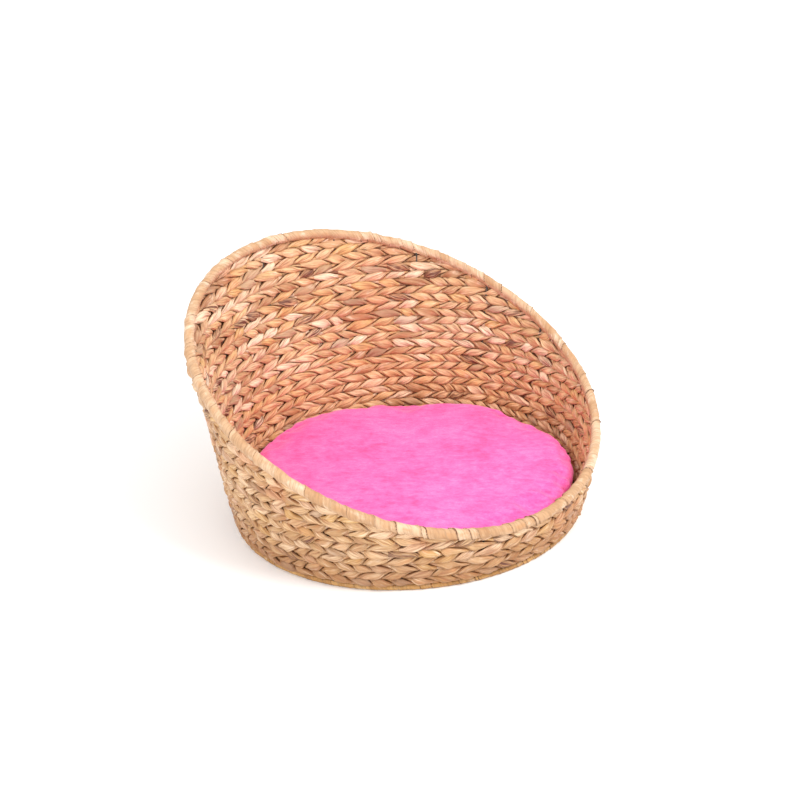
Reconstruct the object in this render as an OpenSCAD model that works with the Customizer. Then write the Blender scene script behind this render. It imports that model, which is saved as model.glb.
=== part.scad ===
// Pet bed basket: rows of twined water hyacinth on a steel wire frame, cut off
// obliquely so that the back is high and the front is low, with a loose cushion.
// X runs side to side, -Y is the low front, +Z is up, and Z = 0 is the floor
// that the basket stands on, under the middle of its base.

/* [Basket] */
// Width of the base over the weave, side to side
base_w = 432; // [400:2:460]
// Depth of the base over the weave, front to back
base_d = 394; // [370:2:398]
// Outward run of the wall for each unit of rise
flare = 0.2; // [0.12:0.01:0.24]
// Tilt of the rim, high at the back
rim_tilt = 24.5; // [18:0.5:26]
// Height of the rim's plane over the middle of the base
rim_mid_h = 149.2; // [140:0.2:160]

/* [Weave] */
// Height from one course to the next
course_pitch = 9.45; // [9.2:0.05:10]
// Free height left between two courses
course_gap = 0.2; // [0.1:0.05:0.4]
// Thickness over the strip bound round the rim
rim_binding_d = 11.5; // [10:0.5:14]
// Thickness over the strip bound round the foot
foot_binding_d = 6.5; // [6:0.25:7]
// Thickness of one strand of the woven floor
floor_strand_t = 2.2; // [1.8:0.1:2.4]

/* [Wire frame] */
// Number of ribs, a multiple of four
ribs = 16; // [12:4:16]
// Diameter of a rib's wire
rib_d = 2.6; // [2:0.2:2.8]
// Diameter of the rim hoop's wire
hoop_d = 5; // [4:0.5:6]
// Diameter of the base ring's wire
ring_d = 3.5; // [3:0.25:4]
// Radius of the small ring that the ribs meet on, under the middle of the floor
hub_r = 13; // [12:0.5:14]

/* [Cushion] */
// Gap all round between the cushion and the wall
cushion_gap = 2.5; // [2:0.5:12]
// Thickness of the cushion
cushion_t = 36; // [28:1:40]
// Rounding of the cushion's edge
cushion_edge_r = 13; // [8:1:13]
// Thickness of the cushion's cloth
cloth_t = 0.9; // [0.8:0.1:1.5]

/* [Hidden] */
$fn = 96;
wall_facets = 300;
STRAW = "#d8b27c";
STRAW_LIGHT = "#e6c998";
STEEL = "#5c5a56";
PINK = "#ff5fb4";
WADDING = "#f2efe8";

// Clearances: of a wire in its weave, of a strand under the rim, and under the cushion
wire_gap = 0.05;
rim_gap = 0.15;
seat_gap = 0.3;
seam_gap = 0.1;

// The wall is as thick as a course is high, and its middle surface is an oval
// that grows with the flare
course_h = course_pitch - course_gap;
wall_t = course_h;
edge_chamfer = 1.4;
mid_a = (base_w - wall_t) / 2;
mid_b = (base_d - wall_t) / 2;

// The arcs at the sides end where their normal leans 3 in 5 from the X axis, which
// is where they meet the flatter arcs at the front and back
lean = [0.8, 0.6];
lean_down = [lean[0], -lean[1]];
lean_back = [-lean[0], lean[1]];
radius_step = 2.5;
side_shift = lean[0] * radius_step;
end_shift = lean[1] * radius_step;

// Heights of the foot, of the ribs along the floor, and of the first course
foot_flat = 0.35;
foot_z = foot_binding_d / 2 - foot_flat;
rib_z = foot_z + ring_d / 2 + wire_gap + rib_d / 2;
weave_z = rib_z + rib_d / 2 + wire_gap;
floor_under_z = rib_z - rib_d / 2 - wire_gap - floor_strand_t;
floor_top = weave_z + floor_strand_t;

// A rib is a little thicker where it is bent from the wall to the floor
bend_d = 1.08 * rib_d;

// The rim's plane cuts the middle of the wall in a near circle
rim_slope = tan(rim_tilt);
rim_back_y = (mid_b + flare * rim_mid_h) / (1 - rim_slope * flare);
rim_front_y = -(mid_b + flare * rim_mid_h) / (1 + rim_slope * flare);
hoop_y = (rim_back_y + rim_front_y) / 2;
hoop_z = rim_mid_h + rim_slope * hoop_y;
hoop_b = (rim_back_y - rim_front_y) / 2 / cos(rim_tilt);
hoop_a = mid_a + flare * hoop_z;
hoop_r = (hoop_a + hoop_b) / 2;
weave_drop = rim_binding_d / 2 + rim_gap;

// Courses fill the wall up to the rim at the back
least_course = 2.5;
back_top = rim_mid_h + rim_slope * rim_back_y - weave_drop / cos(rim_tilt);
front_top = rim_mid_h + rim_slope * rim_front_y - weave_drop / cos(rim_tilt);
courses = floor((back_top - weave_z - least_course) / course_pitch) + 1;

// Rows of the floor run from the hub out to the wall
floor_in_a = hub_r + ring_d / 2 + course_pitch;
floor_out_a = mid_a - wall_t;
floor_rows = floor((floor_out_a - floor_in_a) / course_pitch) + 1;
floor_row_step = 0.4;
floor_strand_w = 0.1 * floor(10 * (course_pitch * mid_b / mid_a - 2 * course_gap));

cushion_z = floor_top + seat_gap;
cushion_inset = wall_t / 2 - flare * cushion_z + cushion_gap;
wadding_inset = cloth_t + seam_gap;
far = 900;

function numbered(stem, n) = str(stem, n < 10 ? "0" : "", n);
COURSE_NAMES = [for (n = [1:courses]) numbered("course_", n)];
RIB_NAMES = [for (n = [1:ribs]) numbered("rib_", n)];

function rib_angle(n) = 360 / ribs * (n - 1);
function course_z(n) = weave_z + (n - 1) * course_pitch;

// The point of the wall's middle surface at height z whose normal points along t
function wall_point(t, z) =
    let (oblong = mid_a - mid_b)
    let (at_side = abs(sin(t)) < lean[1])
    let (shift = at_side ? side_shift * oblong : end_shift * oblong)
    let (r = (at_side ? mid_a - shift : mid_b + shift) + flare * z)
    let (x = at_side ? sign(cos(t)) * shift : 0)
    let (y = at_side ? 0 : -sign(sin(t)) * shift)
    [x + r * cos(t), y + r * sin(t), z];

// Turns a profile, drawn with X outward from radius r and Y up, about an axis
// shifted by [x, y], and keeps the part that opens from there along [u, v]
module turned_arc(x, y, r, u, v) {
    intersection() {
        translate([x, y, 0])
            rotate_extrude()
                translate([r, 0])
                    children();
        translate([x, y, -far / 2])
            linear_extrude(far)
                polygon(far * [[0, 0], [u[0], u[1]], [v[0], v[1]]]);
    }
}

// Sweeps that profile round an oval of four tangent arcs with half-axes a and b
module oval_sweep(a, b) {
    side = side_shift * (a - b);
    end = end_shift * (a - b);
    for (turn = [0, 180])
        rotate([0, 0, turn]) {
            turned_arc(side, 0, a - side, lean_down, lean) children();
            turned_arc(0, -end, b + end, lean, lean_back) children();
        }
}

// Everything above the rim's plane lowered by drop
module above_rim(drop) {
    translate([0, 0, rim_mid_h])
        rotate([rim_tilt, 0, 0])
            translate([-far / 2, -far / 2, -drop])
                cube(far);
}

// A ring in the rim's plane that follows the top of the wall
module rim_ring(outer_d, inner_d = 0) {
    translate([0, hoop_y, hoop_z])
        rotate([rim_tilt, 0, 0])
            rotate_extrude()
                translate([hoop_r, 0])
                    difference() {
                        circle(d = outer_d);
                        if (inner_d > 0)
                            circle(d = inner_d);
                    }
}

// One of a course's two strands, inside (side = -1) or outside (side = 1) the ribs
module strand(n, side) {
    z = course_z(n);
    near = rib_d / 2 + wire_gap;
    out = wall_t / 2;
    profile = [[near, 0], [out - edge_chamfer, 0], [out, edge_chamfer],
        [out, course_h - edge_chamfer], [out - edge_chamfer, course_h], [near, course_h]];
    oval_sweep(mid_a, mid_b, $fn = wall_facets)
        polygon([for (p = profile) [side * p[0] + flare * (z + p[1]), z + p[1]]]);
}

module course(n) {
    reaches_rim = course_z(n) + course_h > front_top - wall_t;
    color(n % 2 == 0 ? STRAW : STRAW_LIGHT)
        for (side = [-1, 1])
            if (reaches_rim)
                difference() {
                    strand(n, side);
                    above_rim(weave_drop);
                }
            else
                strand(n, side);
}

// The straight run of a rib up the wall, from the floor to past the rim
module rib_upright(n, d) {
    translate(wall_point(rib_angle(n), rib_z))
        rotate([0, atan(flare), rib_angle(n)])
            cylinder(d = d, h = far / 2);
}

// The straight run of a rib under the floor, from the wall to the hub
module rib_spoke(n, d) {
    foot = wall_point(rib_angle(n), rib_z);
    reach = norm([foot[0], foot[1]]);
    rotate([0, 0, atan2(foot[1], foot[0])])
        translate([hub_r - ring_d / 2, 0, rib_z])
            rotate([0, 90, 0])
                cylinder(d = d, h = reach - hub_r + ring_d / 2);
}

module rib(n) {
    color(STEEL)
        difference() {
            union() {
                rib_upright(n, rib_d);
                rib_spoke(n, rib_d);
                translate(wall_point(rib_angle(n), rib_z)) sphere(d = bend_d);
            }
            above_rim(hoop_d / 2 + wire_gap);
        }
}

// Steel hoop inside the rim, and the strip wound round it, notched for the ribs
module rim_hoop() {
    color(STEEL) rim_ring(hoop_d);
}

module rim_binding() {
    color(STRAW_LIGHT)
        difference() {
            rim_ring(rim_binding_d, hoop_d + 2 * wire_gap);
            for (n = [1:ribs])
                difference() {
                    rib_upright(n, rib_d + 2 * wire_gap);
                    above_rim(0);
                }
        }
}

// Steel ring inside the foot, and the strip wound round it, flat underneath
module base_ring() {
    color(STEEL)
        translate([0, 0, foot_z])
            oval_sweep(mid_a + flare * foot_z, mid_b + flare * foot_z)
                circle(d = ring_d);
}

module foot_binding() {
    color(STRAW)
        difference() {
            translate([0, 0, foot_z])
                oval_sweep(mid_a + flare * foot_z, mid_b + flare * foot_z)
                    difference() {
                        circle(d = foot_binding_d);
                        circle(d = ring_d + 2 * wire_gap);
                        translate([-foot_binding_d, -foot_binding_d - foot_z])
                            square([2 * foot_binding_d, foot_binding_d]);
                    }
            for (n = [1:ribs])
                rib_notch(n);
        }
}

// The space a rib takes where it bends over the foot
module rib_notch(n) {
    foot = wall_point(rib_angle(n), rib_z);
    notch_w = bend_d + 2 * wire_gap;
    translate(foot)
        rotate([0, 0, rib_angle(n)])
            translate([-foot_binding_d, -notch_w / 2, -notch_w / 2])
                cube([2 * foot_binding_d, notch_w, foot_binding_d]);
}

// Ring under the spokes' inner ends
module hub_ring() {
    color(STEEL)
        translate([0, 0, rib_z - rib_d / 2 - wire_gap - ring_d / 2])
            rotate_extrude()
                translate([hub_r, 0])
                    circle(d = ring_d);
}

// Flat rows of the floor, above or under the spokes
module floor_weave(z) {
    color(STRAW)
        for (row = [0:floor_rows - 1]) {
            a = floor_out_a - row * course_pitch;
            oblong = floor_row_step * round((mid_a - mid_b) * a / floor_out_a / floor_row_step);
            translate([0, 0, z])
                oval_sweep(a, a - oblong)
                    translate([-floor_strand_w / 2, 0])
                        square([floor_strand_w, floor_strand_t]);
        }
}

module floor_weave_upper() {
    floor_weave(weave_z);
}

module floor_weave_under() {
    floor_weave(floor_under_z);
}

// The cushion's profile from its axis out to radius r, of thickness t, with its
// edges rounded to radius e
module cushion_profile(r, t, e) {
    square([r - e, t]);
    translate([0, e]) square([r, t - 2 * e]);
    for (y = [e, t - e])
        translate([r - e, y]) circle(e);
}

// The cushion's form, drawn in by inset on every side
module cushion_form(inset) {
    t = cushion_t - 2 * inset;
    e = cushion_edge_r - inset;
    a = mid_a - cushion_inset - inset;
    b = mid_b - cushion_inset - inset;
    side = side_shift * (a - b);
    end = end_shift * (a - b);
    translate([0, 0, cushion_z + inset])
        for (turn = [0, 180])
            rotate([0, 0, turn]) {
                turned_arc(side, 0, 0, lean_down, lean) cushion_profile(a - side, t, e);
                turned_arc(0, -end, 0, lean, lean_back) cushion_profile(b + end, t, e);
            }
}

module cushion_cover() {
    color(PINK)
        difference() {
            cushion_form(0);
            cushion_form(cloth_t);
        }
}

// The cover is two panels that meet in a seam at half the cushion's height
module cushion_half(from_z) {
    intersection() {
        cushion_cover();
        translate([-far / 2, -far / 2, from_z])
            cube([far, far, cushion_t / 2 + cloth_t]);
    }
}

module cushion_top_panel() {
    cushion_half(cushion_z + cushion_t / 2 + seam_gap / 2);
}

module cushion_base_panel() {
    cushion_half(cushion_z - cloth_t - seam_gap / 2);
}

module cushion_filling() {
    color(WADDING) cushion_form(wadding_inset);
}

rim_hoop();
rim_binding();
base_ring();
foot_binding();
hub_ring();
floor_weave_upper();
floor_weave_under();
for (n = [1:courses])
    course(n);
for (n = [1:ribs])
    rib(n);
cushion_top_panel();
cushion_base_panel();
cushion_filling();
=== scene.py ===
import math

import bpy
import numpy as np
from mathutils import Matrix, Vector


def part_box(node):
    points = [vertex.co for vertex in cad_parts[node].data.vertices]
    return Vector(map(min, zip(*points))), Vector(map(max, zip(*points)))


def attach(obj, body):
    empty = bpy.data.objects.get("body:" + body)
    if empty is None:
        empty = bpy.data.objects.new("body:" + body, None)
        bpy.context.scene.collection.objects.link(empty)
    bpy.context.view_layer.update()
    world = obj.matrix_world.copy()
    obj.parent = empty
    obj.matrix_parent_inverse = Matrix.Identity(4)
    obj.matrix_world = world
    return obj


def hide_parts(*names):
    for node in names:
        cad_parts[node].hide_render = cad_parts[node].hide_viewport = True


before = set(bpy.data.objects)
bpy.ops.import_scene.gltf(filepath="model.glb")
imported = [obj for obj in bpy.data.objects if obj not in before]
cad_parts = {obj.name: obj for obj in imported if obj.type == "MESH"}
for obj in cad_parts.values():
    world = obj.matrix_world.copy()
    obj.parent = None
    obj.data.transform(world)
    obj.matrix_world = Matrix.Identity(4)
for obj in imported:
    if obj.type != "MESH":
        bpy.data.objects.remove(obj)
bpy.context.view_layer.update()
MM = 0.001
PI = math.pi


# ---------------------------------------------------------------- the frame's own sizes

def corners(node):
    lo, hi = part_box(node)
    return np.array(lo), np.array(hi)


COURSES = sorted(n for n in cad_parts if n.startswith("course_"))
RIBS = sorted(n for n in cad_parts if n.startswith("rib_"))

# From the design: the chamfer along a course's edges, and the wall's oval, whose arcs differ in radius by
# RADIUS_STEP times the difference of the half-axes and meet where their normal is (LEAN_X, LEAN_Y)
EDGE_CHAMFER = 1.4 * MM
RADIUS_STEP = 2.5
LEAN_X, LEAN_Y = 0.8, 0.6

first_lo, first_hi = corners(COURSES[0])
next_lo, next_hi = corners(COURSES[1])
PITCH = next_lo[2] - first_lo[2]
WALL = first_hi[2] - first_lo[2]
FLARE = (next_hi[0] - first_hi[0]) / PITCH
WEAVE_Z = first_lo[2]
MID_A = first_hi[0] - WALL / 2 - FLARE * (first_hi[2] - EDGE_CHAMFER)
MID_B = first_hi[1] - WALL / 2 - FLARE * (first_hi[2] - EDGE_CHAMFER)

# The rim's hoop is a tilted circle: its radius, wire and tilt follow from its box
hoop_lo, hoop_hi = corners("rim_hoop")
bind_lo, bind_hi = corners("rim_binding")
hx, hy, hz = (hoop_hi - hoop_lo) / 2
reach = hy + hz - hx
HOOP_WIRE = reach - math.sqrt(reach**2 - (hy**2 + hz**2 - hx**2))
HOOP_R = hx - HOOP_WIRE
BIND_R = (bind_hi[0] - bind_lo[0]) / 2 - HOOP_R
TILT = math.atan2(hz - HOOP_WIRE, hy - HOOP_WIRE)
HOOP_C = (hoop_lo + hoop_hi) / 2
HOOP_U = np.array([1.0, 0.0, 0.0])
HOOP_V = np.array([0.0, math.cos(TILT), math.sin(TILT)])
HOOP_N = np.array([0.0, -math.sin(TILT), math.cos(TILT)])

foot_lo, foot_hi = corners("foot_binding")
floor_hi = corners("floor_weave_upper")[1]
under_lo = corners("floor_weave_under")[0]
pad_lo, pad_hi = corners("cushion_base_panel")[0], corners("cushion_top_panel")[1]


def oval_speed(a, b, th, grow=0.0):
    """Radius of the four-arc oval with half-axes a and b where its normal points along th, which is
    also its arc length per radian of that angle."""
    step = RADIUS_STEP * (a - b)
    side = np.abs(np.sin(th)) < LEAN_Y
    return np.where(side, a - LEAN_X * step, b + LEAN_Y * step) + grow


def oval(a, b, th, grow=0.0):
    """Points of that oval."""
    step = RADIUS_STEP * (a - b)
    side = np.abs(np.sin(th)) < LEAN_Y
    r = oval_speed(a, b, th, grow)
    x = np.where(side, np.sign(np.cos(th)) * LEAN_X * step, 0) + r * np.cos(th)
    y = np.where(side, 0, -np.sign(np.sin(th)) * LEAN_Y * step) + r * np.sin(th)
    return x, y


def smooth(lo, hi, x):
    t = np.clip((x - lo) / (hi - lo), 0, 1)
    return t * t * (3 - 2 * t)


def wobble(rng, th, amp, low, high, n=7):
    """Smooth noise round a closed ring: n waves of low to high periods each."""
    f = rng.integers(low, high + 1, n)
    p = rng.uniform(0, 2 * PI, n)
    return amp * np.sin(np.outer(th, f) + p).sum(1) / math.sqrt(n)


def row_wobble(th, row, amp, low, high, seed, n=9):
    """Smooth noise round a ring that changes only slowly from one row to the next."""
    rng = np.random.default_rng(seed)
    f = rng.integers(low, high + 1, n)
    p = rng.uniform(0, 2 * PI, n) + row * rng.uniform(-0.5, 0.5, n)
    return amp * np.sin(np.outer(th, f) + p).sum(1) / math.sqrt(n)


# ---------------------------------------------------------------- meshes from numpy

def tube_quads(n, m, rows):
    """The faces of a closed tube of n rings of m points, from each of the given rings to the next."""
    i, j = rows[:, None], np.arange(m)
    i2, j2 = (i + 1) % n, (j + 1) % m
    return np.stack([i * m + j, i2 * m + j, i2 * m + j2, i * m + j2], -1).reshape(-1, 4)


def mesh_object(name, points, quads, **attributes):
    """A smooth mesh of four-sided faces, with named values or vectors per point for its material."""
    me = bpy.data.meshes.new(name)
    me.vertices.add(len(points))
    me.vertices.foreach_set("co", np.ascontiguousarray(points, np.float32).ravel())
    me.loops.add(quads.size)
    me.loops.foreach_set("vertex_index", np.ascontiguousarray(quads, np.int32).ravel())
    me.polygons.add(len(quads))
    me.polygons.foreach_set("loop_start", np.arange(0, quads.size, 4, dtype=np.int32))
    me.polygons.foreach_set("use_smooth", np.ones(len(quads), bool))
    me.update(calc_edges=True)
    me.validate()
    for key, values in attributes.items():
        values = np.asarray(values, np.float32)
        if values.ndim > 1 and values.shape[-1] == 3:
            layer = me.attributes.new(key, "FLOAT_VECTOR", "POINT")
            layer.data.foreach_set("vector", values.reshape(-1, 3).ravel())
        else:
            layer = me.attributes.new(key, "FLOAT", "POINT")
            layer.data.foreach_set("value", values.ravel())
    ob = bpy.data.objects.new(name, me)
    bpy.context.scene.collection.objects.link(ob)
    return ob


# ---------------------------------------------------------------- materials

def srgb(*levels):
    """A linear colour from its three sRGB levels out of 255."""
    shares = [v / 255 for v in levels]
    return [v / 12.92 if v <= 0.04045 else ((v + 0.055) / 1.055) ** 2.4 for v in shares] + [1.0]


class Nodes:
    """A short way to wire a material. Inputs are given by name, or as i0, i1 and so on by number."""

    def __init__(self, name):
        self.mat = bpy.data.materials.new(name)
        self.mat.use_nodes = True
        self.tree = self.mat.node_tree
        self.bsdf = self.tree.nodes["Principled BSDF"]

    def put(self, socket, value):
        if isinstance(value, bpy.types.NodeSocket):
            self.tree.links.new(value, socket)
        else:
            socket.default_value = value

    def new(self, kind, settings=None, **inputs):
        node = self.tree.nodes.new(kind)
        for k, v in (settings or {}).items():
            setattr(node, k, v)
        for k, v in inputs.items():
            numbered = k[0] == "i" and k[1:].isdigit()
            self.put(node.inputs[int(k[1:]) if numbered else k.replace("_", " ")], v)
        return node

    def attr(self, name, output="Fac"):
        return self.new("ShaderNodeAttribute", {"attribute_name": name}).outputs[output]

    def math(self, op, a, b=0.0, c=0.0):
        return self.new("ShaderNodeMath", {"operation": op}, i0=a, i1=b, i2=c).outputs[0]

    def scale(self, vector, x, y, z):
        return self.new("ShaderNodeVectorMath", {"operation": "MULTIPLY"}, i0=vector, i1=(x, y, z)).outputs[0]

    def noise(self, vector, scale=1.0, detail=2.0, rough=0.5):
        node = self.new("ShaderNodeTexNoise", None, Vector=vector, Scale=scale, Detail=detail, Roughness=rough)
        return node.outputs["Fac"]

    def ramp(self, value, stops):
        node = self.new("ShaderNodeValToRGB", None, Fac=value)
        r = node.color_ramp
        while len(r.elements) < len(stops):
            r.elements.new(0.5)
        for e, (at, colour) in zip(r.elements, stops):
            e.position = at
            e.color = colour
        return node.outputs["Color"]

    def mix(self, fac, a, b, blend="MIX"):
        node = self.new("ShaderNodeMix", {"data_type": "RGBA", "blend_type": blend})
        self.put(node.inputs["Factor"], fac)
        self.put(node.inputs[6], a)
        self.put(node.inputs[7], b)
        return node.outputs[2]

    def range(self, value, a, b, c=0.0, d=1.0):
        """A smooth step from c where the value is a to d where it is b."""
        node = self.new("ShaderNodeMapRange", {"interpolation_type": "SMOOTHSTEP"}, i0=value, i1=a, i2=b, i3=c, i4=d)
        return node.outputs[0]

    def finish(self, colour, rough, height=None, distance=0.0004, strength=0.6, **shader):
        self.put(self.bsdf.inputs["Base Color"], colour)
        self.put(self.bsdf.inputs["Roughness"], rough)
        if height is not None:
            bump = self.new("ShaderNodeBump", None, Height=height, Distance=distance, Strength=strength)
            self.put(self.bsdf.inputs["Normal"], bump.outputs["Normal"])
        for k, v in shader.items():
            self.bsdf.inputs[k.replace("_", " ")].default_value = v
        return self.mat


def hyacinth(name, inner_stops, outer_stops):
    """Dried stalk: a tone per leaf, fine fibres along it partly lightened by painted highlights on their ridges,
    stains, and painted shade in the creases between leaves and on the sheet behind them. The inside of the basket is
    redder than the outside; painted shade darkens the outside towards the bottom, and painted warm bounce light tints
    the inside low down."""
    n = Nodes(name)
    fibre = n.attr("fibre", "Vector")
    outside = n.attr("side")
    tone = n.attr("tone")
    colour = n.mix(outside, n.ramp(tone, inner_stops), n.ramp(tone, outer_stops))
    where = n.new("ShaderNodeTexCoord").outputs["Object"]
    patch = n.noise(n.scale(where, 14, 14, 22), detail=3.0, rough=0.6)
    colour = n.mix(n.range(patch, 0.52, 0.70, 0.0, 0.45), colour, srgb(206, 132, 92))
    colour = n.mix(n.range(patch, 0.48, 0.30, 0.0, 0.45), colour, srgb(244, 214, 178))
    height = n.new("ShaderNodeSeparateXYZ", None, Vector=where).outputs["Z"]
    # Painted shade: the outside darkens towards the bottom, where less light reaches it
    low = n.math("MULTIPLY", n.range(height, 0.065, 0.005, 0.0, 0.8), outside)
    colour = n.mix(low, colour, srgb(164, 114, 68))
    # Painted bounce light: the lower inside is tinted warmer, standing in for light thrown back from the cushion
    painted_bounce_warmth = n.math("MULTIPLY", n.range(height, 0.13, 0.05, 0.0, 0.4), n.math("SUBTRACT", 1.0, outside))
    colour = n.mix(painted_bounce_warmth, colour, srgb(228, 164, 112))
    stain = n.noise(n.scale(fibre, 60, 160, 1), detail=3.0, rough=0.6)
    colour = n.mix(n.range(stain, 0.54, 0.76, 0.0, 0.5), colour, srgb(204, 134, 84))
    colour = n.mix(n.range(stain, 0.46, 0.24, 0.0, 0.5), colour, srgb(252, 228, 200))
    streak = n.noise(n.scale(fibre, 32, 520, 1), detail=3.0, rough=0.7)
    fine = n.noise(n.scale(fibre, 90, 1700, 1), detail=2.0)
    lines = n.math("ADD", n.math("MULTIPLY", streak, 0.7), n.math("MULTIPLY", fine, 0.3))
    colour = n.mix(n.range(lines, 0.38, 0.55), n.mix(0.68, colour, srgb(148, 88, 55)), colour)
    # Lighter streaks on the raised fibres: partly the stalk's own pale fibres, partly a painted highlight on the
    # ridges of the bump
    colour = n.mix(n.range(lines, 0.55, 0.68, 0.0, 0.5), colour, srgb(255, 232, 204))
    odd = n.attr("odd")
    bruise = n.math("MULTIPLY", n.range(odd, 0.93, 0.98), n.range(streak, 0.58, 0.42, 0.15, 1.0))
    colour = n.mix(bruise, colour, srgb(102, 56, 42))
    colour = n.mix(n.range(odd, 0.06, 0.03, 0.0, 0.5), colour, srgb(156, 122, 98))
    # The crease is 1 on a leaf and 0 between leaves, where painted shade darkens the grooves; it is -1 on the sheet
    # behind them, which carries painted shade in the gaps
    crease = n.attr("crease")
    painted_groove_shade = n.mix(outside, srgb(190, 138, 102), srgb(236, 206, 180))
    painted_gap_shade = n.mix(outside, srgb(108, 64, 42), srgb(138, 90, 58))
    colour = n.mix(n.range(crease, 0.0, 1.0), n.mix(1.0, colour, painted_groove_shade, "MULTIPLY"), colour)
    # Painted shade: the sheet behind the stalks is coloured dark brown so the gaps read as shaded
    colour = n.mix(n.range(crease, -0.9, -0.1), painted_gap_shade, colour)
    rough = n.range(streak, 0.3, 0.7, 0.42, 0.62)
    return n.finish(colour, rough, lines, 0.0011, 0.9, Specular_IOR_Level=0.4)


STALK = hyacinth(
    "water_hyacinth",
    [
        (0.0, srgb(172, 122, 84)), (0.22, srgb(208, 162, 118)), (0.5, srgb(226, 184, 140)),
        (0.7, srgb(218, 170, 110)), (0.85, srgb(230, 192, 156)), (1.0, srgb(248, 222, 190)),
    ],
    [
        (0.0, srgb(184, 142, 96)), (0.25, srgb(204, 164, 118)), (0.5, srgb(216, 178, 134)),
        (0.7, srgb(206, 162, 102)), (0.85, srgb(214, 176, 142)), (1.0, srgb(230, 198, 158)),
    ],
)


def strip_material(name, stops, dark, distance):
    """Flat strip: a tone per winding, fibres along it, and dark edges. The bump is distance deep."""
    n = Nodes(name)
    fibre = n.attr("fibre", "Vector")
    colour = n.ramp(n.attr("tone"), stops)
    cloud = n.noise(n.scale(fibre, 60, 90, 1), detail=3.0)
    colour = n.mix(n.range(cloud, 0.50, 0.72, 0.0, 0.6), colour, srgb(190, 138, 92))
    colour = n.mix(n.range(cloud, 0.46, 0.28, 0.0, 0.5), colour, srgb(240, 218, 192))
    lines = n.noise(n.scale(fibre, 420, 60, 1), detail=4.0, rough=0.7)
    colour = n.mix(n.range(lines, 0.38, 0.56), n.mix(0.45, colour, dark), colour)
    crease = n.attr("crease")
    colour = n.mix(n.range(crease, 0.0, 1.0), n.mix(1.0, colour, srgb(136, 94, 62), "MULTIPLY"), colour)
    colour = n.mix(n.range(crease, -0.7, 0.0), srgb(70, 52, 44), colour)
    return n.finish(colour, n.range(lines, 0.3, 0.7, 0.42, 0.62), lines, distance, 0.6, Specular_IOR_Level=0.35)


RIM_STRIP = strip_material(
    "rim_strip",
    [
        (0.0, srgb(184, 140, 100)), (0.35, srgb(200, 160, 122)),
        (0.7, srgb(213, 178, 144)), (1.0, srgb(226, 198, 168)),
    ],
    srgb(150, 106, 70), 0.0007,
)
FOOT_STRIP = strip_material(
    "foot_strip",
    [(0.0, srgb(160, 112, 60)), (0.5, srgb(190, 142, 84)), (1.0, srgb(212, 168, 108))],
    srgb(110, 72, 38), 0.0004,
)


def steel():
    """Plain wire, dulled and a little rusty in patches."""
    n = Nodes("steel_wire")
    where = n.new("ShaderNodeTexCoord").outputs["Object"]
    wear = n.noise(n.scale(where, 1, 1, 1), scale=160, detail=4.0)
    fine = n.noise(n.scale(where, 1, 1, 1), scale=1600, detail=2.0)
    colour = n.ramp(wear, [(0.3, srgb(62, 58, 54)), (0.6, srgb(104, 98, 92)), (0.8, srgb(120, 84, 58))])
    return n.finish(colour, n.range(wear, 0.3, 0.8, 0.35, 0.7), fine, 0.0001, 0.4, Metallic=0.9)


STEEL = steel()


def velour():
    """Pink pile cloth: its nap lies brushed across the pad, darker where it is laid over."""
    n = Nodes("pink_velour")
    where = n.new("ShaderNodeTexCoord").outputs["Object"]
    brushing = math.radians(48)
    turned = n.new("ShaderNodeVectorRotate", {"rotation_type": "Z_AXIS"}, Vector=where, Angle=brushing)
    where = turned.outputs["Vector"]
    patch = n.noise(n.scale(where, 16, 19, 18), detail=6.0, rough=0.7)
    brushed = n.noise(n.scale(where, 90, 150, 150), detail=5.0, rough=0.72)
    pile = n.noise(n.scale(where, 420, 560, 600), detail=3.0, rough=0.7)
    nap = n.math("ADD", n.math("MULTIPLY", patch, 0.45), n.math("MULTIPLY", brushed, 0.55))
    colour = n.ramp(nap, [
        (0.38, srgb(247, 72, 144)), (0.46, srgb(252, 94, 168)),
        (0.53, srgb(254, 110, 180)), (0.64, srgb(255, 132, 194)),
    ])
    colour = n.mix(n.range(pile, 0.35, 0.62), n.mix(0.25, colour, srgb(232, 52, 132)), colour)
    height = n.math("ADD", n.math("MULTIPLY", pile, 0.6), n.math("MULTIPLY", brushed, 1.6))
    return n.finish(
        colour, n.range(nap, 0.35, 0.65, 0.78, 0.95), height, 0.0009, 0.55,
        Sheen_Weight=0.5, Sheen_Roughness=0.5, Sheen_Tint=srgb(255, 196, 232), Specular_IOR_Level=0.15,
    )


VELOUR = velour()

# ---------------------------------------------------------------- twined rows

# Leaves shown between two ribs, the radius of a stalk's path in its row, and half its thickness and width
LEAVES_PER_BAY = 3.5
ROPE_R = 2.5 * MM
STALK_T = 2.95 * MM
STALK_W = 5.0 * MM
TURNS = 2 * round(LEAVES_PER_BAY * len(RIBS) / 2)
# How long a stalk stays on a face before it crosses to the other, and half the width of a rib's bulge in bays
FLATTEN = 0.25
RIB_SPREAD = 0.09
COURSE_SEED, FLOOR_SEED = 500, 900


def uneven_turn(rng, th, leaves):
    """The twist of a strand round its ring: leaves half turns in all, some long and some short."""
    rate = 1 + wobble(rng, th, 0.24, 3, 24, 10) + wobble(rng, th, 0.30, 24, 60, 14)
    turned = np.cumsum(np.clip(rate, 0.5, 1.9))
    return PI * leaves * turned / turned[-1] + rng.uniform(0, PI)


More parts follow.
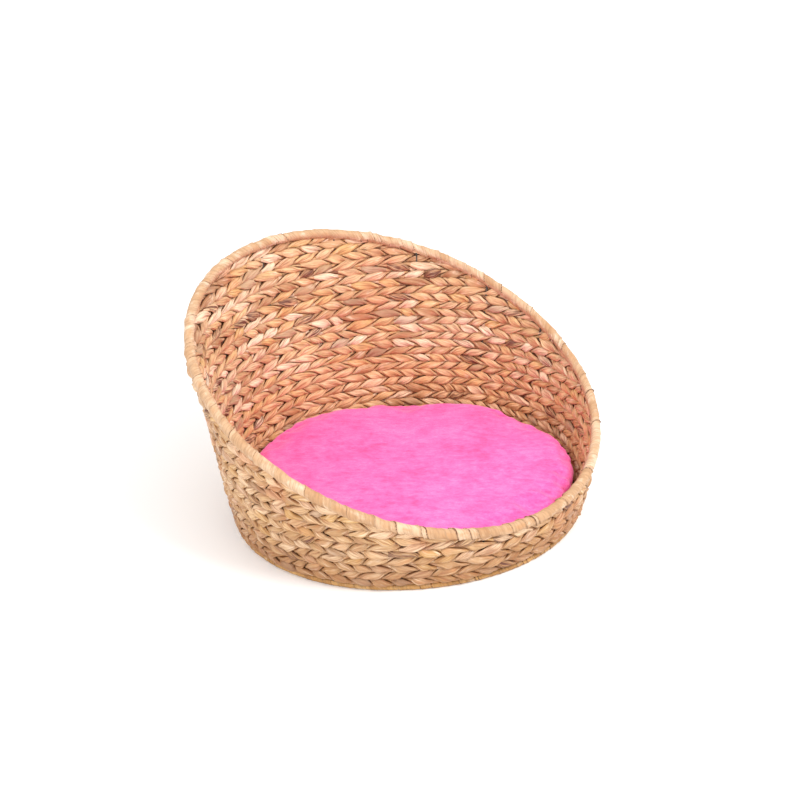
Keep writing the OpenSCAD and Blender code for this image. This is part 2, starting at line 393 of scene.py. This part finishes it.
def rope_ring(th, centre, outward, along, hand, seed, r=ROPE_R, t=STALK_T, w=STALK_W,
              columns=22, leaves=TURNS, clip=None, up=(0, 0, 1), bulge=0.9 * MM):
    """Two stalks twisted round each other along a ring: centre is (n, 3), outward its unit normal,
    along its length in metres, and each half turn shows one leaf on either face."""
    rng = np.random.default_rng(seed)
    n = len(th)
    psi = np.linspace(-PI, PI, columns, endpoint=False)
    up = np.broadcast_to(np.array(up, float), (n, 3))
    parts = []
    twisting = uneven_turn(rng, th, leaves)
    size = 1 + wobble(rng, th, 0.045, 5, 40, 9)
    from_rib = (th / (2 * PI / len(RIBS)) + 0.5) % 1 - 0.5
    near_rib = np.exp(-((from_rib / RIB_SPREAD) ** 2))
    for strand in (0, 1):
        turn = hand * twisting + PI * strand
        phi = turn - FLATTEN * np.sin(2 * turn)
        k = np.floor(turn / PI + 0.5).astype(int) % leaves
        tone, odd, fat, slim, puff, sway = (rng.random(leaves)[k] for _ in range(6))
        shift = rng.uniform(0, 40, leaves)[k]
        crown = np.cos(phi) ** 2
        wide = w * size * (0.80 + 0.24 * crown + 0.36 * (fat - 0.5) * crown)
        thick = t * size * (0.88 + 0.12 * crown + 0.44 * (slim - 0.5) * crown)
        radius = r * size * (0.93 + 0.07 * crown + 0.34 * (puff - 0.5) * crown) + bulge * near_rib * crown
        # The section is a flattened oval, ridged along the stalk and less full on its hidden side
        twist = psi[None, :] + 0.3 * phi[:, None]
        ridge = 1 + 0.050 * np.sin(5 * twist + 9 * fat[:, None]) + 0.030 * np.sin(3 * twist + 7 * slim[:, None])
        c, s = np.cos(psi), np.sin(psi)
        e = (np.sign(c) * np.abs(c) ** 0.68) * np.where(c > 0, 0.97, 0.8)
        rad = radius[:, None] + thick[:, None] * e[None, :] * ridge
        tan = wide[:, None] * (np.sign(s) * np.abs(s) ** 0.86)[None, :] * ridge
        out = rad * np.cos(phi)[:, None] - tan * np.sin(phi)[:, None]
        lift = rad * np.sin(phi)[:, None] + tan * np.cos(phi)[:, None] + (0.34 * t * (sway - 0.5) * crown)[:, None]
        if clip is not None:
            out = out * clip[:, None]
        points = centre[:, None, :] + out[..., None] * outward[:, None, :] + lift[..., None] * up[:, None, :]
        face = np.abs(out) / (r + t)
        ring = np.hypot(out, lift) / (r + t)
        # Mask for the painted shade between leaves: 1 on a leaf's face, falling to 0 in the crease between leaves
        crease = smooth(-0.04, 0.20, face) * smooth(0.40, 0.62, ring)
        fibre = np.stack([
            np.broadcast_to(along[:, None], out.shape), w * twist, np.broadcast_to(shift[:, None], out.shape)], -1)
        tone, odd = (np.broadcast_to(v[:, None], out.shape) for v in (tone, odd))
        parts.append((points, fibre, tone, odd, crease, smooth(-0.25, 0.25, out / (r + t))))
    return parts


def gap_shade_sheet(centre, outward, up, along, clip):
    """A flat sheet between the two stalks, coloured with painted shade, which shows only as the dark of the gaps."""
    psi = np.linspace(-PI, PI, 8, endpoint=False)
    out = 0.9 * MM * np.cos(psi)[None, :] * clip[:, None]
    lift = (PITCH / 2 + 1.4 * MM) * np.sin(psi)[None, :] * np.ones((len(along), 1))
    points = centre[:, None, :] + out[..., None] * outward[:, None, :] + lift[..., None] * up[:, None, :]
    fibre = np.stack([np.broadcast_to(along[:, None], out.shape), lift, 0 * out], -1)
    flat = np.full(out.shape, 0.5)
    return points, fibre, flat, flat, 0 * out - 1, smooth(-0.1, 0.1, out / MM)


def join_parts(name, parts, keep=None):
    """One object from several closed strands' grids. keep leaves out the faces at some samples."""
    all_points, all_quads, store = [], [], {k: [] for k in ("fibre", "tone", "odd", "crease", "side")}
    base = 0
    for points, fibre, tone, odd, crease, side in parts:
        n, m = points.shape[:2]
        rows = np.arange(n)
        if keep is not None:
            rows = rows[keep & np.roll(keep, -1)]
        all_quads.append(tube_quads(n, m, rows) + base)
        all_points.append(points.reshape(-1, 3))
        store["fibre"].append(fibre.reshape(-1, 3))
        for key, v in (("tone", tone), ("odd", odd), ("crease", crease), ("side", side)):
            store[key].append(np.asarray(v).reshape(-1))
        base += n * m
    points = np.concatenate(all_points)
    quads = np.concatenate(all_quads)
    used, inverse = np.unique(quads, return_inverse=True)
    return mesh_object(name, points[used], inverse.reshape(quads.shape), **{
        k: np.concatenate(v)[used] for k, v in store.items()})


def plane_gap(points):
    """How far points lie under the plane of the rim's hoop."""
    return -((points - HOOP_C) @ HOOP_N)


def hoop_offset(th, z):
    """How far outside the wall's middle the hoop's centre line runs where it meets the wall near th."""
    x, y = oval(MID_A, MID_B, th, FLARE * z)
    p = np.stack([x, y, z], -1) - HOOP_C
    return HOOP_R - np.hypot(p @ HOOP_U, p @ HOOP_V)


def build_course(index, name):
    """One row of the wall. Near the rim it leans out to meet the hoop, thins, and is cut off under it."""
    n = 1152
    th = -PI / 2 + 2 * PI * (np.arange(n) + 0.5) / n
    z = WEAVE_Z + index * PITCH + WALL / 2 + row_wobble(th, index, 1.0 * MM, 2, 16, 11)
    x, y = oval(MID_A, MID_B, th, FLARE * z)
    centre = np.stack([x, y, z], -1)
    outward = np.stack([np.cos(th), np.sin(th), -FLARE * np.ones(n)], -1)
    outward /= np.linalg.norm(outward, axis=1)[:, None]
    gap = plane_gap(centre)
    near = smooth(20 * MM, 2 * MM, gap)
    centre = centre + outward * (row_wobble(th, index, 0.6 * MM, 3, 36, 12) + near * hoop_offset(th, z))[:, None]
    speed = oval_speed(MID_A, MID_B, th, FLARE * (WEAVE_Z + index * PITCH))
    along = np.cumsum(speed) * 2 * PI / n
    clip = 1 - 0.30 * smooth(10 * MM, 1 * MM, gap)
    hand = 1 if index % 2 else -1
    up = np.stack([FLARE * np.cos(th), FLARE * np.sin(th), np.ones(n)], -1)
    up /= np.linalg.norm(up, axis=1)[:, None]
    parts = rope_ring(th, centre, outward, along, hand, COURSE_SEED + index, clip=clip, up=up)
    # A sheet of painted shade behind the stalks, so the gaps between rows show dark
    parts.append(gap_shade_sheet(centre, outward, up, along, clip))
    trimmed = []
    for points, *rest in parts:
        over = np.maximum(0, 1.5 * MM - plane_gap(points))
        trimmed.append((points - over[..., None] * HOOP_N, *rest))
    ob = join_parts(name + "_strands", trimmed, keep=gap > -5 * MM)
    ob.data.materials.append(STALK)
    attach(ob, "basket")
    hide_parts(name)


for i, course in enumerate(COURSES):
    build_course(i, course)

# ---------------------------------------------------------------- the woven floor

# Half the width of a floor stalk, how far inside the floor's edge the outermost row runs, and the radius
# that is left in the middle
FLOOR_STALK_W = 4.4 * MM
FLOOR_EDGE = 4.1 * MM
FLOOR_HOLE = 5 * MM


def floor_gap_shade_sheet(z):
    """A thin sheet inside the floor, coloured with painted shade, which closes the gaps between its rows."""
    n, half = 360, 0.6 * MM
    th = 2 * PI * np.arange(n) / n
    loop = [(0.002, half), (1, half), (1, -half), (0.002, -half)]
    x, y = oval(MID_A, MID_B, th)
    points = np.stack([np.stack([x * part, y * part, np.full(n, z + dz)], -1) for part, dz in loop], 1)
    flat = np.full((n, len(loop)), 0.5)
    return points, points.copy(), flat, flat, 0 * flat - 1, 0 * flat


def build_floor():
    """Rows like the wall's, laid flat, from the wall in to the middle."""
    parts = []
    row_h = (floor_hi[2] - under_lo[2]) / 2
    z = (floor_hi[2] + under_lo[2]) / 2
    outer_a = floor_hi[0] - FLOOR_EDGE
    outer_b = floor_hi[1] - FLOOR_EDGE
    rows = int((outer_a - FLOOR_HOLE) / PITCH) + 1
    for row in range(rows):
        a = outer_a - row * PITCH
        b = a - (outer_a - outer_b) * a / outer_a
        leaves = 2 * max(6, round(a / outer_a * TURNS / 2))
        n = leaves * 9
        th = 2 * PI * np.arange(n) / n
        x, y = oval(a, b, th)
        centre = np.stack([x, y, np.full(n, z)], -1)
        outward = np.tile([0.0, 0.0, -1.0], (n, 1))
        up = np.stack([np.cos(th), np.sin(th), np.zeros(n)], -1)
        along = np.cumsum(oval_speed(a, b, th)) * 2 * PI / n
        parts += rope_ring(th, centre, outward, along, 1 if row % 2 else -1, FLOOR_SEED + row,
                           r=row_h * 0.44, t=row_h * 0.56, w=FLOOR_STALK_W, columns=14, leaves=leaves,
                           up=up, bulge=0.0)
    # A sheet of painted shade inside the floor, so the gaps between its rows show dark
    parts.append(floor_gap_shade_sheet(z))
    ob = join_parts("floor_strands", parts)
    ob.data.materials.append(STALK)
    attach(ob, "basket")
    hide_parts("floor_weave_upper", "floor_weave_under")


build_floor()

# ---------------------------------------------------------------- bound strips

def bound_tube(name, th, centre, e_out, e_up, along, radius, seed, pitch, seams, slant, step,
               flat_z=None, columns=30):
    """A strip wound round a ring at a pitch and slant. Each winding laps the next by a step, and every
    seams or so a new strip starts, with a dark join. Nothing reaches lower than flat_z."""
    rng = np.random.default_rng(seed)
    total = along[-1] + (along[-1] - along[-2])
    n = len(th)
    edges = [0.0]
    while edges[-1] < total:
        edges.append(edges[-1] + pitch * rng.uniform(0.35, 1.8))
    edges = np.array(edges) * total / edges[-1]
    strong = rng.random(len(edges)) < pitch / seams
    psi = np.linspace(-PI, PI, columns, endpoint=False)
    where = (along[:, None] + slant * radius * psi[None, :] + 0.0008 * np.sin(2 * psi + 1)[None, :]) % total
    k = np.clip(np.searchsorted(edges, where, "right") - 1, 0, len(edges) - 2)
    width = edges[k + 1] - edges[k]
    part = (where - edges[k]) / width
    tone = rng.random(len(edges))
    group = np.cumsum(strong)
    group_tone = rng.random(group.max() + 1)[group]
    height = rng.uniform(0.4, 1.0, len(edges))
    swell = step * height[k] * (1 - part) * (1 + 2.2 * strong[k] * np.exp(-part * 3))
    lump = wobble(rng, th, 0.034, 8, 120, 18)[:, None]
    lump = lump + 0.022 * np.sin(3 * psi[None, :] + 6 * wobble(rng, th, 1.0, 3, 12, 6)[:, None])
    r = radius * (0.95 + lump) + swell
    points = centre[:, None, :] + r[..., None] * (
        np.cos(psi)[None, :, None] * e_out[:, None, :] + np.sin(psi)[None, :, None] * e_up[:, None, :])
    if flat_z is not None:
        points[..., 2] = np.maximum(points[..., 2], flat_z)
    dist = np.minimum(part, 1 - part) * width
    mark = np.where(strong[k] & (part < 0.5), 0.8 + 1.0 * (tone[k] > 0.6), 0.22 * height[k])
    crease = 1 - mark * np.exp(-((dist / (0.55 * MM)) ** 2))
    fibre = np.stack([where, radius * np.broadcast_to(psi[None, :], where.shape), 7.3 * k], -1)
    blend = 0.5 * group_tone[k] + 0.5 * tone[k]
    quads = tube_quads(n, columns, np.arange(n))
    return mesh_object(name, points.reshape(-1, 3), quads, tone=blend, crease=crease, fibre=fibre)


def build_rim():
    n = 2600
    th = -PI / 2 + 2 * PI * np.arange(n) / n
    e_out = np.cos(th)[:, None] * HOOP_U + np.sin(th)[:, None] * HOOP_V
    centre = HOOP_C + HOOP_R * e_out + wobble(np.random.default_rng(3), th, 0.5 * MM, 5, 50, 14)[:, None] * HOOP_N
    e_up = np.tile(HOOP_N, (n, 1))
    along = HOOP_R * 2 * PI * np.arange(n) / n
    ob = bound_tube("rim_strip_bound", th, centre, e_out, e_up, along, BIND_R, seed=21,
                    pitch=12 * MM, seams=34 * MM, slant=0.55, step=0.65 * MM)
    ob.data.materials.append(RIM_STRIP)
    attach(ob, "basket")
    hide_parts("rim_binding")


def build_foot():
    n = 2200
    th = -PI / 2 + 2 * PI * np.arange(n) / n
    z = foot_hi[2] - (foot_hi[2] - foot_lo[2]) * 0.525
    radius = foot_hi[2] - z
    x, y = oval(foot_hi[0] - radius, foot_hi[1] - radius, th)
    centre = np.stack([x, y, np.full(n, z)], -1)
    e_out = np.stack([np.cos(th), np.sin(th), np.zeros(n)], -1)
    e_up = np.tile([0.0, 0.0, 1.0], (n, 1))
    along = np.cumsum(oval_speed(foot_hi[0] - radius, foot_hi[1] - radius, th)) * 2 * PI / n
    ob = bound_tube("foot_strip_bound", th, centre, e_out, e_up, along, radius * 1.06, seed=22,
                    pitch=9 * MM, seams=26 * MM, slant=0.3, step=0.3 * MM, flat_z=foot_lo[2], columns=20)
    ob.data.materials.append(FOOT_STRIP)
    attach(ob, "basket")
    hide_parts("foot_binding")


build_rim()
build_foot()

for node in ["rim_hoop", "base_ring", "hub_ring"] + RIBS:
    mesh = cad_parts[node].data
    mesh.materials.clear()
    mesh.materials.append(STEEL)

# ---------------------------------------------------------------- the cushion

# The seam's share of the pad's height, the directions of two tucks at the front, and the pad's outline
# against an oval: direction and spread in degrees, and how much fuller (or less full, if negative) it is
PAD_BOTTOM, PAD_TOP = pad_lo[2], pad_hi[2]
SEAM_AT = 0.74
PAD_SEAM = PAD_BOTTOM + SEAM_AT * (PAD_TOP - PAD_BOTTOM)
PAD_SHARE = 0.968
WALL_GAP = 0.8 * MM
PAD_TUCKS = (-98, -62)
PAD_FLATS = ((90, 18, 0.026), (40, 22, -0.078), (14, 9, 0.012), (-6, 17, -0.052))

# Shallow dents and swellings of the top: place and spread in metres, and height in millimetres
PAD_DENTS = ((0.03, 0.02, 0.11, -1.6), (-0.11, -0.03, 0.07, 1.2), (0.12, -0.06, 0.06, 1.4), (-0.02, -0.12, 0.05, -1.0))


def pad_reach(th, z):
    """How far the pad reaches from its axis at polar angle th and height z: nearly to the wall, by PAD_FLATS."""
    a = MID_A + FLARE * z - ROPE_R - STALK_T - WALL_GAP
    b = MID_B + FLARE * z - ROPE_R - STALK_T - WALL_GAP
    share = PAD_SHARE + 0 * th
    for at, spread, amount in PAD_FLATS:
        away = (np.degrees(th) - at + 180) % 360 - 180
        share = share + amount * np.exp(-((away / spread) ** 2))
    return share * a * b / np.sqrt((b * np.cos(th)) ** 2 + (a * np.sin(th)) ** 2)


def build_cushion():
    """A stuffed oval pad: two panels blown up against a seam near the upper edge of its side."""
    n, rings = 180, 30
    th = 2 * PI * np.arange(n) / n
    edge = 1 + wobble(np.random.default_rng(41), th, 0.003, 2, 9)
    rows = []
    s = np.linspace(0, 1, rings)
    for sign in (1, -1):
        for q in (s[1:] if sign > 0 else s[::-1][1:-1]):
            depth = (PAD_TOP - PAD_SEAM - 2 * MM) if sign > 0 else (PAD_SEAM - PAD_BOTTOM)
            z = PAD_SEAM + sign * depth * math.cos(q * PI / 2) ** (0.42 if sign > 0 else 0.22)
            reach = (pad_reach(th, z) - 4 * MM) * edge * math.sin(q * PI / 2) ** 0.9
            rows.append(np.stack([reach * np.cos(th), reach * np.sin(th), np.full(n, z)], -1))
    rows = np.array(rows)
    m = len(rows)
    points = rows.reshape(-1, 3)
    i = np.arange(m - 1)[:, None]
    j = np.arange(n)[None, :]
    quads = np.stack([i * n + j, (i + 1) * n + j, (i + 1) * n + (j + 1) % n, i * n + (j + 1) % n], -1).reshape(-1, 4)
    me = bpy.data.meshes.new("cushion_pad")
    verts = [tuple(p) for p in points] + [(0, 0, PAD_TOP - 2 * MM), (0, 0, PAD_BOTTOM)]
    faces = [tuple(int(v) for v in q) for q in quads]
    faces += [(int(k), int((k + 1) % n), len(points)) for k in range(n)]
    last = (m - 1) * n
    faces += [(int(last + (k + 1) % n), int(last + k), len(points) + 1) for k in range(n)]
    me.from_pydata(verts, [], faces)
    ob = bpy.data.objects.new("cushion_pad", me)
    bpy.context.scene.collection.objects.link(ob)
    bpy.context.view_layer.objects.active = ob
    mod = ob.modifiers.new("remesh", "REMESH")
    mod.mode = "VOXEL"
    mod.voxel_size = 5 * MM
    apply_modifiers(ob)
    inflate(ob, PAD_SEAM)
    return ob


def apply_modifiers(ob):
    """Keeps the shape that the object's modifiers give it, and drops them."""
    graph = bpy.context.evaluated_depsgraph_get()
    done = bpy.data.meshes.new_from_object(ob.evaluated_get(graph))
    ob.modifiers.clear()
    ob.data = done


def coords(ob):
    v = np.empty(len(ob.data.vertices) * 3, np.float32)
    ob.data.vertices.foreach_get("co", v)
    return v.reshape(-1, 3).astype(float)


def put_coords(ob, v):
    ob.data.vertices.foreach_set("co", v.astype(np.float32).ravel())
    ob.data.update()


def inflate(ob, height):
    """Blows the pad up a little against its seam, which is held, so the cloth puckers beside it."""
    start = coords(ob)
    seam = ob.vertex_groups.new(name="seam")
    out = np.hypot(start[:, 0], start[:, 1]) / pad_reach(np.arctan2(start[:, 1], start[:, 0]), height)
    held = np.where((np.abs(start[:, 2] - height) < 4 * MM) & (out > 0.93))[0]
    seam.add([int(i) for i in held], 1.0, "REPLACE")
    cloth = ob.modifiers.new("cloth", "CLOTH")
    s = cloth.settings
    s.quality = 6
    s.mass = 0.25
    s.tension_stiffness = s.compression_stiffness = 12
    s.shear_stiffness = 6
    s.bending_stiffness = 0.4
    s.use_pressure = True
    s.uniform_pressure_force = 4
    s.vertex_group_mass = "seam"
    s.pin_stiffness = 0.6
    s.shrink_min = -0.05
    s.effector_weights.gravity = 0
    cloth.collision_settings.use_collision = False
    scene = bpy.context.scene
    cloth.point_cache.frame_start, cloth.point_cache.frame_end = 1, 20
    for f in range(1, 21):
        scene.frame_set(f)
    graph = bpy.context.evaluated_depsgraph_get()
    moved = ob.evaluated_get(graph).to_mesh()
    v = np.empty(len(moved.vertices) * 3, np.float32)
    moved.vertices.foreach_get("co", v)
    ob.modifiers.clear()
    scene.frame_set(1)
    delta = v.reshape(-1, 3) - start
    length = np.linalg.norm(delta, axis=1)
    delta *= np.minimum(1, 8 * MM / np.maximum(length, 1e-9))[:, None]
    put_coords(ob, start + delta)


def finish_cushion(ob):
    """Presses the pad to its floor and walls, then adds the puckers beside the seam and a few dents."""
    v = coords(ob)
    th = np.arctan2(v[:, 1], v[:, 0])
    z = np.clip(v[:, 2], PAD_BOTTOM, PAD_TOP)
    limit = pad_reach(th, z)
    out = np.hypot(v[:, 0], v[:, 1]) / limit
    press = np.minimum(1, 1 / np.maximum(out, 1e-6))
    rng = np.random.default_rng(55)
    pucker = wobble(rng, th, 1.0, 22, 70, 18)
    deep = 1 + 2.2 * np.exp(-(((np.degrees(th) + 72) / 22) ** 2))
    side = np.exp(-(((z - PAD_SEAM) / (6 * MM)) ** 2)) * smooth(0.9, 1.0, out)
    v[:, :2] *= (press + side * deep * pucker * 0.004)[:, None]
    tuck = sum(np.exp(-(((np.degrees(th) - at) / 1.8) ** 2)) for at in PAD_TUCKS)
    drawn = tuck * smooth(0.88, 1.0, out) * np.exp(-(((z - PAD_SEAM) / (11 * MM)) ** 2))
    v[:, :2] *= (1 - 0.026 * drawn)[:, None]
    up = v[:, 2] > PAD_SEAM
    band = smooth(0.80, 0.96, out) * smooth(1.02, 0.98, out)
    v[:, 2] -= np.where(up, 1, 0) * smooth(0.86, 0.97, out) * tuck * 3 * MM
    v[:, 2] += np.where(up, 1, 0) * band * pucker * deep * 0.7 * MM
    dents = sum(
        np.exp(-(((v[:, 0] - x) / s) ** 2 + ((v[:, 1] - y) / s) ** 2)) * d
        for x, y, s, d in PAD_DENTS)
    v[:, 2] += np.where(up, 1, 0) * dents * MM
    v[:, 2] = np.maximum(v[:, 2], PAD_BOTTOM)
    put_coords(ob, v)
    sub = ob.modifiers.new("smooth", "SUBSURF")
    sub.levels = sub.render_levels = 1
    apply_modifiers(ob)
    ob.data.polygons.foreach_set("use_smooth", np.ones(len(ob.data.polygons), bool))
    ob.data.materials.clear()
    ob.data.materials.append(VELOUR)
    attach(ob, "cushion")
    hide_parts("cushion_top_panel", "cushion_base_panel", "cushion_filling")


finish_cushion(build_cushion())

# ---------------------------------------------------------------- floor, light and camera

def build_stage():
    me = bpy.data.meshes.new("studio_floor")
    half = 4.0
    me.from_pydata([(-half, -half, 0), (half, -half, 0), (half, half, 0), (-half, half, 0)], [], [(0, 1, 2, 3)])
    ob = bpy.data.objects.new("studio_floor", me)
    bpy.context.scene.collection.objects.link(ob)
    n = Nodes("studio_floor")
    me.materials.append(n.finish(srgb(252, 252, 252), 0.9, Specular_IOR_Level=0.1))
    ob.location.z = -0.0005


def area_light(name, place, power):
    """A soft round light of that many watts, turned towards the basket."""
    light = bpy.data.lights.new(name, "AREA")
    light.shape = "DISK"
    light.size = 1.2
    light.energy = power
    ob = bpy.data.objects.new(name, light)
    ob.location = place
    ob.rotation_euler = (Vector((0, 0, 0.1)) - place).to_track_quat("-Z", "Y").to_euler()
    bpy.context.scene.collection.objects.link(ob)


build_stage()
world = bpy.data.worlds.new("studio")
bpy.context.scene.world = world
world.use_nodes = True
world.node_tree.nodes["Background"].inputs["Color"].default_value = (1, 1, 1, 1)
world.node_tree.nodes["Background"].inputs["Strength"].default_value = 1.05

# The photograph's view: azimuth from the low front, elevation, and distance in metres from its aim
VIEW_AZ, VIEW_EL, VIEW_DIST = math.radians(-48), math.radians(25.8), 2.117
level = math.cos(VIEW_EL)
toward = Vector((math.sin(VIEW_AZ) * level, -math.cos(VIEW_AZ) * level, math.sin(VIEW_EL)))
side = Vector((math.cos(VIEW_AZ), math.sin(VIEW_AZ), 0))
aim = Vector((0, 0, 0.1155))
area_light("key", aim + 1.3 * side + 0.9 * toward + Vector((0, 0, 1.7)), 40)
area_light("front", aim - 0.9 * side + 1.9 * toward + Vector((0, 0, 0.7)), 15)

camera = bpy.data.cameras.new("camera")
camera.sensor_width = 36
camera.lens = 82.5
camera.shift_x = -0.0132
camera.shift_y = 0.0149
view = bpy.data.objects.new("camera", camera)
view.location = aim + VIEW_DIST * toward
view.rotation_euler = (-toward).to_track_quat("-Z", "Y").to_euler()
bpy.context.scene.collection.objects.link(view)
bpy.context.scene.camera = view
bpy.context.scene.view_settings.view_transform = "Standard"
